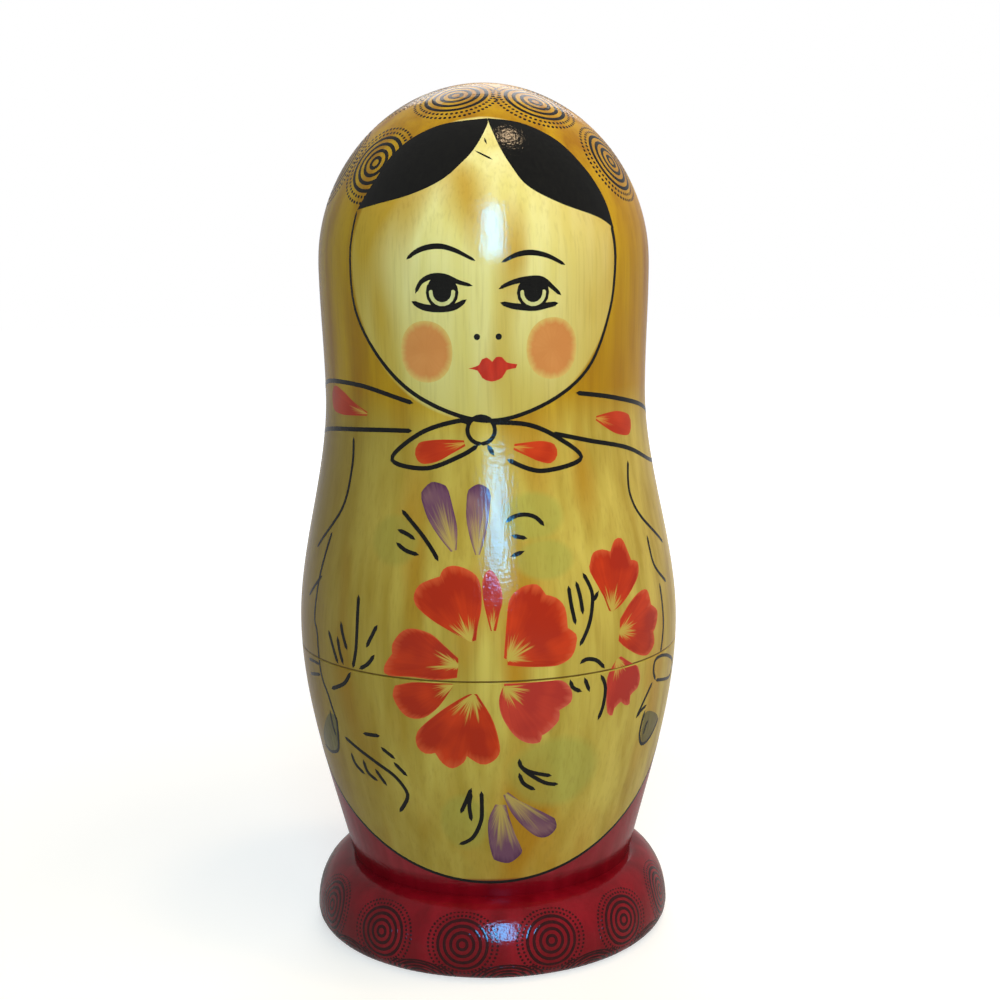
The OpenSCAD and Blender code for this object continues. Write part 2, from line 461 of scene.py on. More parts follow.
# The last colour, along the seam, is painted shade
for where, colour in ((zone["kerchief"], dye["scarf"]), (oval, dye["face"]), (below, dye["red"]),
                      (zone["foot"], dye["crimson"]), (seam, STAINS_AND_SHADE["seam_shade"])):
    coat = add(tree, "ShaderNodeMix", {"Factor": where, "A": coat, "B": colour}, data_type="RGBA")
coat = add(tree, "ShaderNodeMix", {"Factor": grain, "A": coat, "B": STAINS_AND_SHADE["grain"]}, data_type="RGBA",
           blend_type="MULTIPLY")
tree.links.new(coat.outputs[2], shader.inputs["Base Color"])
print("material:", outside_coat.name, "with", len(tree.nodes), "nodes")

# %% [markdown]
# The inside of a doll and the spigot ring are bare, as the turning tool left them: matt
# wood with fine rings. The rings are drawn as a bump that only changes with height.

# %% Bare limewood
TOOL_MARK = 0.6 * MM
TOOL_DEEP = 0.05 * MM
TOOL_STRENGTH = 0.6
BARE = {"Roughness": 0.62, "Specular IOR Level": 0.35}

inside_wood, tree, shader, place = finish("bare_turned_limewood", BARE)
grain = streaks(tree, place, GRAIN_WIDE, GRAIN_LONG, GRAIN_DETAIL)
grain = add(tree, "ShaderNodeMapRange", {"Value": grain, "From Min": 0.35, "From Max": 0.7})
wood = add(tree, "ShaderNodeMix", {"Factor": grain, "A": "#dcc59c", "B": "#c2a273"}, data_type="RGBA")
tree.links.new(wood.outputs[2], shader.inputs["Base Color"])
rings = add(tree, "ShaderNodeMapping", {"Vector": place, "Scale": (0, 0, 1 / TOOL_MARK)})
rings = add(tree, "ShaderNodeTexNoise", {"Vector": rings, "Scale": 1.0, "Detail": 1.0})
rings = add(tree, "ShaderNodeBump", {"Height": rings, "Strength": TOOL_STRENGTH, "Distance": TOOL_DEEP})
tree.links.new(rings.outputs[0], shader.inputs["Normal"])
print("material:", inside_wood.name)

# %% [markdown]
# A turned piece is its outline swept round the axis. Blender's Screw modifier could do
# that, but a small Geometry Nodes tree keeps the height along the outline with every point
# and gives the outside and the inside their own material. The tree lays a grid with one
# column for each side and one row for each point of the outline, and turns each column.


# %% Starting, closing and running a tree
def new_tree(name, inputs):
    """Start a Geometry Nodes tree with named inputs, and return it with its input sockets."""
    tree = bpy.data.node_groups.new(name, "GeometryNodeTree")
    tree.interface.new_socket("Geometry", in_out="INPUT", socket_type="NodeSocketGeometry")
    for label, kind in inputs.items():
        tree.interface.new_socket(label, in_out="INPUT", socket_type="NodeSocket" + kind)
    tree.interface.new_socket("Geometry", in_out="OUTPUT", socket_type="NodeSocketGeometry")
    return tree, add(tree, "NodeGroupInput").outputs


def end_tree(tree, geometry, *finishes):
    """Close a tree with Realize Instances and a Set Material for each (material, selection)."""
    geometry = add(tree, "GeometryNodeRealizeInstances", {0: geometry})
    for material, chosen in finishes:
        geometry = add(tree, "GeometryNodeSetMaterial", {0: geometry, "Selection": chosen,
                                                         "Material": material})
    add(tree, "NodeGroupOutput", {0: geometry})


def made_by(tree, source, values):
    """Run a tree on an object, and return the result as a plain mesh."""
    modifier = source.modifiers.new(tree.name, "NODES")
    modifier.node_group = tree
    for item in tree.interface.items_tree:
        if item.name in values:
            modifier[item.identifier] = values[item.name]
    view = bpy.context.evaluated_depsgraph_get()
    mesh = bpy.data.meshes.new_from_object(source.evaluated_get(view))
    source.modifiers.remove(modifier)
    return mesh


def new_object(name, data):
    """Put a mesh or a lamp in the scene, at the origin."""
    thing = bpy.data.objects.new(name, data)
    bpy.context.scene.collection.objects.link(thing)
    return thing


print("trees so far:", len(bpy.data.node_groups))

# %% The lathe
LATHE_MERGE = 0.001 * MM

lathe, given = new_tree("lathe", {"Sides": "Int", "Outside": "Material", "Inside": "Material"})
outline = given["Geometry"]
rows = add(lathe, "GeometryNodeAttributeDomainSize", {0: outline}).outputs["Point Count"]
columns = add(lathe, "FunctionNodeIntegerMath", {0: given["Sides"], 1: 1}, operation="ADD")
grid = add(lathe, "GeometryNodeMeshGrid", {"Vertices X": columns, "Vertices Y": rows})
index = add(lathe, "GeometryNodeInputIndex")
row = add(lathe, "FunctionNodeIntegerMath", {0: index, 1: rows}, operation="MODULO")
column = add(lathe, "FunctionNodeIntegerMath", {0: index, 1: rows}, operation="DIVIDE")
share = add(lathe, "ShaderNodeMath", {0: column, 1: given["Sides"]}, operation="DIVIDE")
angle = add(lathe, "ShaderNodeMath", {0: share, 1: math.tau}, operation="MULTIPLY")
place = add(lathe, "GeometryNodeInputPosition")
place = add(lathe, "GeometryNodeSampleIndex", {0: outline, "Value": place, "Index": row},
            data_type="FLOAT_VECTOR")
place = add(lathe, "ShaderNodeVectorRotate", {"Vector": place, "Angle": angle}, rotation_type="Z_AXIS")
body = add(lathe, "GeometryNodeSetPosition", {0: grid, "Position": place})
for label, kind in (("up", "FLOAT"), ("inside", "BOOLEAN")):
    value = add(lathe, "GeometryNodeInputNamedAttribute", {"Name": label}, data_type=kind)
    value = add(lathe, "GeometryNodeSampleIndex", {0: outline, "Value": value, "Index": row}, data_type=kind)
    body = add(lathe, "GeometryNodeStoreNamedAttribute", {0: body, "Name": label, "Value": value},
               data_type=kind)
body = add(lathe, "GeometryNodeMergeByDistance", {0: body, "Distance": LATHE_MERGE})
body = add(lathe, "GeometryNodeSetShadeSmooth", {0: body})
hollow = add(lathe, "GeometryNodeInputNamedAttribute", {"Name": "inside"}, data_type="BOOLEAN")
end_tree(lathe, body, (given["Outside"], True), (given["Inside"], hollow))
print("lathe:", len(lathe.nodes), "nodes")


# %% Turning a piece
def closed(mesh):
    """Point a closed mesh's faces outwards, and keep its sharp corners sharp."""
    work = bmesh.new()
    work.from_mesh(mesh)
    bmesh.ops.recalc_face_normals(work, faces=work.faces[:])
    work.to_mesh(mesh)
    work.free()
    mesh.set_sharp_from_angle(angle=CORNER)
    return mesh


def turn_piece(name, line, ups, inside_from, sides):
    """Turn an outline into a closed piece."""
    blank = bpy.data.meshes.new(name + "_outline")
    blank.from_pydata([(0, p.x, p.y) for p in line], [], [])
    blank.attributes.new("up", "FLOAT", "POINT").data.foreach_set("value", ups)
    inside = [i >= inside_from for i in range(len(line))]
    blank.attributes.new("inside", "BOOLEAN", "POINT").data.foreach_set("value", inside)
    source = new_object(name + "_outline", blank)
    mesh = made_by(lathe, source, {"Sides": sides, "Outside": outside_coat, "Inside": inside_wood})
    bpy.data.objects.remove(source)
    return closed(mesh)


print("corners stay sharp from", round(math.degrees(CORNER)), "degrees on")

# %% [markdown]
# Each half is turned from its own outline and stands in for its CAD node. The largest doll
# gets the most sides, because it is seen closest.

# %% Turn every piece
SIDES_LEAST = 112
SIDES_MORE = 144
INSIDE_STEP = 6 * MM


def attach(piece, body):
    """Let a piece ride on a body."""
    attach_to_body(piece, body)


for doll in dolls:
    size = doll["scale"]
    doll["sides"] = SIDES_LEAST + round(SIDES_MORE * size)
    for node, (line, seam_at) in doll["pieces"].items():
        skin = rounded(line[:seam_at], OUTSIDE_STEP * size)
        lining = rounded(line[seam_at:], INSIDE_STEP * size) if line[seam_at:] else []
        ups = [f / MM / size for f in lengths(skin)]
        ups = [CROWN_UP - u for u in ups] if node.endswith("_top") else [doll["up"][0] + u for u in ups]
        ups += [ups[-1]] * len(lining)
        piece = new_object("turned_" + node, turn_piece(node, skin + lining, ups, len(skin), doll["sides"]))
        attach(piece, node)
        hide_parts(node)
        print(piece.name, len(skin), "rings outside,", len(lining), "inside")

# %% [markdown]
# The figure is painted with gouache, which dries to a thin even skin, and the lacquer goes
# over it. Paint is modelled as that skin: thin closed shells on the wood. A picture could
# be drawn in the wood's material, but real edges stay crisp at any distance. Each coat is
# a few hundredths of a millimetre above the one below, a little more than in life, so that
# later strokes cover earlier ones.

# %% Plain gouache
BRISTLE_WIDE = 1.2 * MM
BRISTLE_LONG = 8 * MM


def gouache(name, light, deep):
    """A plain colour, a little uneven from the brush."""
    material, tree, shader, place = finish(name, LACQUER)
    uneven = streaks(tree, place, BRISTLE_WIDE, BRISTLE_LONG)
    uneven = add(tree, "ShaderNodeMapRange", {"Value": uneven, "From Min": 0.3, "From Max": 0.7})
    colour = add(tree, "ShaderNodeMix", {"Factor": uneven, "A": light, "B": deep}, data_type="RGBA")
    tree.links.new(colour.outputs[2], shader.inputs["Base Color"])
    lacquer_over(tree, shader, place)
    return material


black = gouache("black_gouache", "#0e0d0a", "#070605")
garnet = gouache("garnet_gouache", "#3a060c", "#2a0408")
straw = gouache("straw_gouache", "#d6cf95", "#c9bd78")
scarlet = gouache("scarlet_gouache", "#c8301c", "#b02414")
olive = gouache("olive_wash", "#766a36", "#62562a")
print("plain paints:", [paint.name for paint in (black, garnet, straw, scarlet, olive)])

# %% Gouache in one stroke
BRISTLES = 36.0
POOL = 9 * MM
POOL_LOAD = 0.35
RIM_LOAD = 0.1
RIM_FULL = 1.07
RIM_STRENGTH = 0.85


def one_stroke(name, light, deep, tip, root, bare, fade, thin, edge=0.93):
    """A petal, bud or dab in one press of the brush: near the root its hairs leave the ground bare."""
    material, tree, shader, place = finish(name, LACQUER)
    along = add(tree, "ShaderNodeAttribute", attribute_name="along").outputs["Fac"]
    across = add(tree, "ShaderNodeAttribute", attribute_name="across").outputs["Fac"]
    hairs = add(tree, "ShaderNodeMath", {0: across, 1: BRISTLES}, operation="MULTIPLY")
    hairs = add(tree, "ShaderNodeCombineXYZ", {0: hairs, 1: along})
    hairs = add(tree, "ShaderNodeTexNoise", {"Vector": hairs, "Scale": 1.0, "Detail": 3.0})
    load = add(tree, "ShaderNodeMapRange", {"Value": hairs, "From Min": 0.32, "From Max": 0.68})
    pools = streaks(tree, place, POOL, POOL, 1.0)
    pools = add(tree, "ShaderNodeMapRange", {"Value": pools, "From Min": 0.35, "From Max": 0.65})
    pools = add(tree, "ShaderNodeMath", {0: load, 1: POOL_LOAD, 2: pools}, operation="MULTIPLY_ADD",
                use_clamp=True)
    colour = add(tree, "ShaderNodeMix", {"Factor": pools, "A": light, "B": deep}, data_type="RGBA")
    rim = add(tree, "ShaderNodeMath", {0: load, 1: RIM_LOAD, 2: along}, operation="MULTIPLY_ADD")
    rim = add(tree, "ShaderNodeMapRange", {"Value": rim, "From Min": edge, "From Max": RIM_FULL,
                                           "To Max": RIM_STRENGTH})
    colour = add(tree, "ShaderNodeMix", {"Factor": rim, "A": colour, "B": tip}, data_type="RGBA")
    dry = add(tree, "ShaderNodeMath", {0: load, 1: -thin, 2: along}, operation="MULTIPLY_ADD")
    dry = add(tree, "ShaderNodeMapRange", {"Value": dry, "From Min": bare, "From Max": bare + fade,
                                           "To Min": 1.0, "To Max": 0.0})
    colour = add(tree, "ShaderNodeMix", {"Factor": dry, "A": colour, "B": root}, data_type="RGBA")
    tree.links.new(colour.outputs[2], shader.inputs["Base Color"])
    lacquer_over(tree, shader, place)
    return material


rouge = one_stroke("rouge_gouache", "#d58a4c", "#cd8044", "#d6b866", "#d58a4c",
                   bare=-0.6, fade=0.1, thin=0.1, edge=0.82)
vermilion = one_stroke("vermilion_gouache", "#c8360c", "#a82406", "#d4562c", "#bf9f44",
                       bare=0.0, fade=0.14, thin=0.32)
rose = one_stroke("rose_gouache", "#c43a28", "#ac2c22", "#d05c46", "#bf9f44",
                  bare=0.0, fade=0.14, thin=0.32)
dab = one_stroke("orange_gouache", "#c93a12", "#b42c0c", "#c2441a", "#c89c3c",
                 bare=-0.15, fade=0.3, thin=0.35)
violet = one_stroke("violet_gouache", "#8c6260", "#6c4258", "#4c2446", "#b6984e",
                    bare=-0.1, fade=0.55, thin=0.5)
print("brushed paints:", [paint.name for paint in (rouge, vermilion, rose, dab, violet)])

# %% [markdown]
# A brush line follows the doll's surface, so a Geometry Nodes tree draws it. The tree lays
# a smooth curve through the stroke's points, sweeps a round brush along it, as wide as the
# painter pressed there, and presses the result onto the doll. Its ends run out to nothing.


# %% Pressing paint onto the wood
def facing_of(tree, ground):
    """Nodes for the direction that the ground faces in, at its nearest place."""
    facing = add(tree, "GeometryNodeInputNormal")
    return add(tree, "GeometryNodeSampleNearestSurface", {0: ground, "Value": facing},
               data_type="FLOAT_VECTOR")


def press(tree, geometry, ground, lift, sink):
    """Lay points on the ground: those with a height above zero go up to the lift, the rest sink in."""
    near = add(tree, "GeometryNodeProximity", {0: ground}, target_element="FACES").outputs["Position"]
    height = add(tree, "GeometryNodeInputNamedAttribute", {"Name": "height"}, data_type="FLOAT")
    above = add(tree, "ShaderNodeMath", {0: height, 1: 2.0}, operation="MULTIPLY", use_clamp=True)
    under = add(tree, "ShaderNodeMath", {0: height, 1: 0.0}, operation="MINIMUM")
    under = add(tree, "ShaderNodeMath", {0: under, 1: sink}, operation="MULTIPLY")
    out = add(tree, "ShaderNodeMath", {0: above, 1: lift, 2: under}, operation="MULTIPLY_ADD")
    out = add(tree, "ShaderNodeVectorMath", {0: facing_of(tree, ground), "Scale": out}, operation="SCALE")
    return add(tree, "GeometryNodeSetPosition", {0: geometry, "Position": near, "Offset": out})


def round_tip(tree, sides):
    """A circle whose points know their height, for sweeping along a path."""
    tip = add(tree, "GeometryNodeCurvePrimitiveCircle", {"Resolution": sides, "Radius": 1.0})
    place = add(tree, "GeometryNodeInputPosition")
    height = add(tree, "ShaderNodeSeparateXYZ", {0: place}).outputs["X"]
    return add(tree, "GeometryNodeStoreNamedAttribute", {0: tip, "Name": "height", "Value": height},
               data_type="FLOAT")


print("paint can be swept with a round tip and pressed on")

# %% The brush
BRUSH_MERGE = 0.0002 * MM

brush, given = new_tree("brush", {"Ground": "Object", "Step": "Float", "Sides": "Int", "Lift": "Float",
                                  "Sink": "Float", "Paint": "Material"})
ground = add(brush, "GeometryNodeObjectInfo", {0: given["Ground"]}).outputs["Geometry"]
path = add(brush, "GeometryNodeMeshToCurve", {0: given["Geometry"]})
path = add(brush, "GeometryNodeCurveSplineType", {0: path}, spline_type="CATMULL_ROM")
path = add(brush, "GeometryNodeResampleCurve", {0: path, "Length": given["Step"]}, mode="LENGTH")
facing = facing_of(brush, ground)
path = add(brush, "GeometryNodeSetCurveNormal", {0: path, "Normal": facing}, mode="FREE")
half = add(brush, "GeometryNodeInputRadius")
gone = add(brush, "GeometryNodeSplineParameter").outputs["Length"]
whole = add(brush, "GeometryNodeSplineLength").outputs["Length"]
left = add(brush, "ShaderNodeMath", {0: whole, 1: gone}, operation="SUBTRACT")
end = add(brush, "ShaderNodeMath", {0: gone, 1: left}, operation="MINIMUM")
end = add(brush, "ShaderNodeMath", {0: end, 1: half}, operation="DIVIDE", use_clamp=True)
short = add(brush, "ShaderNodeMath", {0: 1.0, 1: end}, operation="SUBTRACT")
short = add(brush, "ShaderNodeMath", {0: short, 1: 2.0}, operation="POWER")
short = add(brush, "ShaderNodeMath", {0: 1.0, 1: short}, operation="SUBTRACT")
full = add(brush, "ShaderNodeMath", {0: short}, operation="SQRT")
path = add(brush, "GeometryNodeStoreNamedAttribute", {0: path, "Name": "full", "Value": full},
           data_type="FLOAT")
wide = add(brush, "ShaderNodeMath", {0: half, 1: full}, operation="MULTIPLY")
tip = round_tip(brush, given["Sides"])
skin = add(brush, "GeometryNodeCurveToMesh", {"Curve": path, "Profile Curve": tip, "Scale": wide})
height = add(brush, "GeometryNodeInputNamedAttribute", {"Name": "height"}, data_type="FLOAT")
full = add(brush, "GeometryNodeInputNamedAttribute", {"Name": "full"}, data_type="FLOAT")
height = add(brush, "ShaderNodeMath", {0: height, 1: full}, operation="MULTIPLY")
skin = add(brush, "GeometryNodeStoreNamedAttribute", {0: skin, "Name": "height", "Value": height},
           data_type="FLOAT")
skin = press(brush, skin, ground, given["Lift"], given["Sink"])
skin = add(brush, "GeometryNodeMergeByDistance", {0: skin, "Distance": BRUSH_MERGE})
skin = add(brush, "GeometryNodeSetShadeSmooth", {0: skin})
end_tree(brush, skin, (given["Paint"], True))
print("brush:", len(brush.nodes), "nodes")

# %% [markdown]
# Kerchief and foot are printed with rosettes: four rings in a double ring of dots, always
# alike. That is a stamp, so a second tree builds one flat rosette, sets it on every given
# point with its back to the doll, and presses it on in the same way. Along the foot's lower
# edge only the upper half of each rosette fits.

# %% One rosette
RING_SHARES = (0.13, 0.31, 0.49, 0.67)
DOT_RINGS = ((0.81, 46), (0.95, 54))
RING_HALF = 0.048
DOT_HALF = 0.038
DOT_SIDES = 6
STAMP_MERGE = 0.0001

stamp, given = new_tree("rosette_stamp", {
    "Ground": "Object", "Radius": "Float", "Half": "Bool", "Turns": "Int", "Sides": "Int", "Lift": "Float",
    "Sink": "Float", "Paint": "Material"})
ground = add(stamp, "GeometryNodeObjectInfo", {0: given["Ground"]}).outputs["Geometry"]
sweep = add(stamp, "GeometryNodeSwitch", {0: given["Half"], "False": math.tau, "True": math.pi},
            input_type="FLOAT")
rosette = add(stamp, "GeometryNodeJoinGeometry")
tip = round_tip(stamp, given["Sides"])
for share in RING_SHARES:
    ring = add(stamp, "GeometryNodeCurveArc", {"Resolution": given["Turns"], "Radius": share,
                                               "Sweep Angle": sweep})
    ring = add(stamp, "GeometryNodeSetCurveNormal", {0: ring.outputs[0], "Normal": (0, 0, 1)}, mode="FREE")
    ring = add(stamp, "GeometryNodeCurveToMesh", {"Curve": ring, "Profile Curve": tip, "Scale": RING_HALF,
                                                  "Fill Caps": given["Half"]})
    stamp.links.new(ring.outputs[0], rosette.inputs[0])
dot = add(stamp, "GeometryNodeMeshCylinder", {"Vertices": DOT_SIDES, "Radius": DOT_HALF, "Depth": DOT_HALF})
place = add(stamp, "GeometryNodeInputPosition")
height = add(stamp, "ShaderNodeSeparateXYZ", {0: place}).outputs["Z"]
height = add(stamp, "ShaderNodeMath", {0: height}, operation="SIGN")
dot = add(stamp, "GeometryNodeStoreNamedAttribute", {0: dot, "Name": "height", "Value": height},
          data_type="FLOAT")
for share, count in DOT_RINGS:
    ring = add(stamp, "GeometryNodeCurveArc", {"Resolution": count + 1, "Radius": share,
                                               "Sweep Angle": sweep})
    spots = add(stamp, "GeometryNodeCurveToPoints", {0: ring.outputs[0]}, mode="EVALUATED")
    index = add(stamp, "GeometryNodeInputIndex")
    fresh = add(stamp, "FunctionNodeCompare", {"A": index, "B": count}, data_type="INT",
                operation="LESS_THAN")
    dots = add(stamp, "GeometryNodeInstanceOnPoints", {"Points": spots, "Selection": fresh, "Instance": dot})
    stamp.links.new(dots.outputs[0], rosette.inputs[0])
rosette = add(stamp, "GeometryNodeRealizeInstances", {0: rosette})
rosette = add(stamp, "GeometryNodeMergeByDistance", {0: rosette, "Distance": STAMP_MERGE})
print("rosette:", len(RING_SHARES), "rings and", sum(count for share, count in DOT_RINGS), "dots")

# %% The rosette stamp
stand = add(stamp, "FunctionNodeAlignRotationToVector", {"Vector": facing_of(stamp, ground)}, axis="Z")
stand = add(stamp, "FunctionNodeAlignRotationToVector", {"Rotation": stand, "Vector": (0, 0, 1)}, axis="Y",
            pivot_axis="Z")
spots = add(stamp, "GeometryNodeMeshToPoints", {0: given["Geometry"]})
size = add(stamp, "GeometryNodeInputNamedAttribute", {"Name": "size"}, data_type="FLOAT")
size = add(stamp, "ShaderNodeMath", {0: size, 1: given["Radius"]}, operation="MULTIPLY")
print_on = add(stamp, "GeometryNodeInstanceOnPoints", {"Points": spots, "Instance": rosette,
                                                       "Rotation": stand, "Scale": size})
print_on = add(stamp, "GeometryNodeRealizeInstances", {0: print_on})
print_on = press(stamp, print_on, ground, given["Lift"], given["Sink"])
print_on = add(stamp, "GeometryNodeSetShadeSmooth", {0: print_on})
end_tree(stamp, print_on, (given["Paint"], True))
print("rosette stamp:", len(stamp.nodes), "nodes")

# %% [markdown]
# Petals, hair and washes are patches. Each is a fan: rows from a root out to a rim that
# runs smoothly through a few points. The fan gives each point its share of the way out and
# of the way round, which the petals' material needs. A patch gets an upper and a lower
# skin and an edge, so it is closed.


# %% Patches
SINK = 0.02 * MM
SAME = 0.01


def through(points, step):
    """Smooth line in degrees and mm through points. It closes where the last point is the first again."""
    shut = points[0] == points[-1]
    ends = [points[-2] if shut else points[0]], [points[1] if shut else points[-1]]
    p = [Vector(q) for q in ends[0] + list(points) + ends[1]]
    line = [p[1]]
    for a, b, c, d in zip(p, p[1:], p[2:], p[3:]):
        pieces = max(1, round((c - b).length / step))
        for j in range(1, pieces + 1):
            t = j / pieces
            bow = (2 * a - 5 * b + 4 * c - d) * t ** 2
            twist = (3 * b - a - 3 * c + d) * t ** 3
            line.append(b + ((c - a) * t + bow + twist) / 2)
    return line


def fan(doll, root, runs, lift, step, number):
    """Points, faces and the two shares of one patch."""
    rim = through(runs[0], step)
    for run in runs[1:]:
        rim += through(run, step)[1:]
    root = Vector(root)
    shut = (rim[0] - rim[-1]).length < SAME
    if shut:
        rim.pop()
    far = max((p - root).length for p in rim)
    rows = max(2, math.ceil(far / step))
    count = len(rim)
    flat = [(root, 0.0, 0.5)]
    for r in range(1, rows + 1):
        flat += [(root.lerp(p, r / rows), r / rows, j / count) for j, p in enumerate(rim)]
    faces = []
    for j in range(count if shut else count - 1):
        k = (j + 1) % count
        faces.append((0, 1 + j, 1 + k))
        for r in range(rows - 1):
            inner = 1 + r * count
            outer = inner + count
            faces.append((inner + j, outer + j, outer + k, inner + k))
    last = 1 + (rows - 1) * count
    edge = [last + j for j in range(count)]
    if not shut:
        edge = [0] + [1 + r * count for r in range(rows - 1)] + edge
        edge += [r * count for r in range(rows - 1, 0, -1)]
    total = len(flat)
    points = [spot(doll, p.x, p.y, lift) for p, out, round_by in flat]
    points += [spot(doll, p.x, p.y, -SINK) for p, out, round_by in flat]
    faces += [tuple(n + total for n in reversed(face)) for face in faces]
    for a, b in zip(edge, edge[1:] + edge[:1]):
        faces.append((a, b, b + total, a + total))
    along = [out for p, out, round_by in flat] * 2
    across = [number + round_by for p, out, round_by in flat] * 2
    return points, faces, along, across


print("a patch is", SINK / MM, "mm deep in the wood")

# %% [markdown]
# Now the painter's pattern. Each stroke is a list of (degrees from the front, mm up), with
# a half width in mm for the whole stroke or for each point. A patch is a root and the runs
# of its rim, with a corner where one run ends. The sizes are those of the largest doll,
# and the smaller dolls get the same figure in proportion.

# %% Face and hair
HAIR = (
    ((-14, 212), ([(-48.5, 195.5), (-43, 204.5), (-39, 212), (-31.5, 218), (-18.5, 222.5), (2.5, 224.5)],
                  [(2.5, 224.5), (3, 222.5), (-2.5, 214), (-7.5, 209), (-15, 203.5), (-26, 199.5),
                   (-39.5, 197), (-48.5, 195.5)])),
    ((20, 211), ([(49, 189.5), (47, 198.5), (42, 207.5), (33.5, 216.5), (19.5, 222.5), (3, 224.5)],
                 [(3, 224.5), (3.5, 222.5), (7, 214), (10.5, 208), (16, 201.5), (27.5, 196.5), (42.5, 192.5),
                  (49, 189.5)])))
MOUTH = ((2, 153), ([(-5.5, 153), (-2, 154), (-1, 155.5), (0.5, 156), (2.3, 154.8)],
                    [(2.3, 154.8), (3.5, 156), (5.5, 156), (7, 154.6), (10.5, 154)],
                    [(10.5, 154), (10, 153), (7, 152.5), (5.5, 150.5), (2, 149.5), (-1, 150.5), (-2.5, 152.5),
                     (-5.5, 153)]))
CHEEKS = ((-19.5, 157.5), (22.5, 158))
CHEEK_WIDE = 7.4
CHEEK_TALL = 8.3
CHEEK_CORNER = 0.93
IRISES = ((-13.5, 173.3), (15.8, 173))
IRIS_HALF = 4.5
SHINE_HALF = 3.1
SHINE_LINE = (0.6, 155, 385)
NOSTRILS = ((-2.5, 161.5), (4.5, 161.5))
NOSTRIL_HALF = 0.85
FACE_LINES = (
    [(-48.5, 195.5, 0.4), (-49.5, 182, 0.45), (-47.5, 168, 0.5), (-37, 155, 0.6), (-22, 145, 0.65),
     (-0.5, 139, 0.65), (20, 143, 0.6), (37, 152.5, 0.55), (46, 167.5, 0.55), (48.5, 181, 0.6),
     (48, 190.5, 0.7)],
    [(-25.5, 182, 0.45), (-21, 184.5, 0.8), (-15, 185.5, 0.85), (-9.5, 184.5, 0.7), (-2.5, 181.5, 0.4)],
    [(5.5, 181, 0.4), (10.5, 183, 0.75), (15.5, 183.5, 0.85), (21, 182.5, 0.7), (27, 180, 0.45)],
    [(-22.5, 173, 0.5), (-20.5, 176, 0.7), (-17, 177.5, 0.9), (-12.5, 177.5, 0.9), (-8, 176, 0.7),
     (-3.5, 175, 0.4)],
    [(4.5, 174, 0.4), (8, 175.5, 0.7), (13, 176.5, 0.9), (18.5, 176.5, 0.9), (22, 174.5, 0.7),
     (25.5, 172, 0.5)],
    [(-24, 171, 0.55), (-20, 169.5, 1), (-15, 169, 1.1), (-9.5, 169.5, 1), (-5.5, 171.5, 0.5)],
    [(5, 170.5, 0.6), (9.5, 169.5, 0.95), (16, 169, 1.05), (20.5, 169.5, 0.9), (24.5, 170, 0.6)],
    [(1, 217, 0.2), (1.5, 215.5, 0.35), (2, 214.5, 0.2)],
    [(-3, 212.5, 0.15), (0.5, 211, 0.3), (4, 209.5, 0.3)])
print(len(HAIR), "locks of hair and", len(FACE_LINES), "lines in the face")

# %% Kerchief, sleeves and hands
SCARF_HALF = 0.72
SCARF_LINES = (
    [(-110, 127), (-95, 141), (-74, 147), (-47, 147.5), (-24.5, 143.5)],
    [(-180, 98), (-140, 112), (-100, 128), (-75.5, 133), (-42.5, 135.5), (-25, 136)],
    [(31.5, 145.5), (50, 143), (75, 138.5), (95, 133), (110, 122)],
    [(22, 135), (37, 132), (55.5, 128.5), (75, 123), (100, 119), (140, 108), (180, 98)],
    [(-5, 138), (-9, 139), (-22, 135.5), (-32.5, 128), (-20, 126), (-8.5, 129.5), (-2.5, 132.5)],
    [(1.5, 138), (3.5, 138.5), (14.5, 137.5), (24.5, 133.5), (32.5, 127.5), (17.5, 125), (6.5, 128.5)],
    [(0.3, 132.7), (2.5, 129.5)])
KNOT = (-1.6, 136.5)
KNOT_HALF = 3.7
KNOT_LINE = (0.65, -100, 280)
SLEEVE_HALF = 0.55
SLEEVE_LINES = (
    [(-51, 133), (-50.5, 124), (-53.5, 112), (-66.5, 99.5)],
    [(-57, 105.5), (-61, 92.5), (-62.5, 80), (-60.5, 75.5), (-59.5, 64), (-56.5, 58), (-53.5, 50)],
    [(-59.5, 92.5), (-68.5, 85)],
    [(-69.5, 66), (-64, 66.5), (-60, 66.5)],
    [(-69.5, 61.5), (-60, 63.5)],
    [(-57, 53.5), (-57, 48.5), (-56, 45)],
    [(-53.5, 52), (-55, 45), (-57.5, 40.5), (-64.5, 38.5), (-69.5, 39.5)],
    [(55, 125), (53, 116), (58, 108), (72, 98.5)],
    [(59, 103), (60.5, 94), (68.5, 87.5)],
    [(62.5, 88.5), (63, 77), (61, 68)],
    [(59, 60.5), (57, 63.5), (58, 67), (65.5, 66.5), (75.5, 62.5), (76, 59.5), (72.5, 58), (59, 60.5)],
    [(57, 60.5), (53.5, 56.5), (50, 51.5), (52, 53), (55, 54)],
    [(54.5, 52.5), (53.5, 49), (53.5, 45), (56, 41.5), (60.5, 41.5), (64.5, 44), (67, 47)],
    [(56, 44), (56.5, 47), (58, 49)])
HANDS = (
    ((-60, 45), ([(-58, 52), (-54, 51.5), (-55, 45), (-58.5, 40), (-65, 38.5), (-69, 41), (-64, 47),
                  (-58, 52)],)),
    ((60, 46), ([(55, 51.5), (54.5, 45), (57, 41.5), (62, 42.5), (66.5, 46.5), (61.5, 50), (55, 51.5)],)))
SCARF_DABS = (
    [(-44, 139.8, 0.5), (-52, 140.8, 2), (-59, 142, 3.4), (-66, 143, 3.4)],
    [(40, 138, 0.6), (45.5, 137, 2.2), (51, 136, 3.2), (58, 134.7, 2.8)],
    [(-7, 133, 0.8), (-12, 132, 2), (-17, 130.8, 3), (-22, 130, 2.8)],
    [(9, 131.8, 0.8), (14, 131, 2), (18, 130.3, 2.8), (22, 129.4, 2.6)])
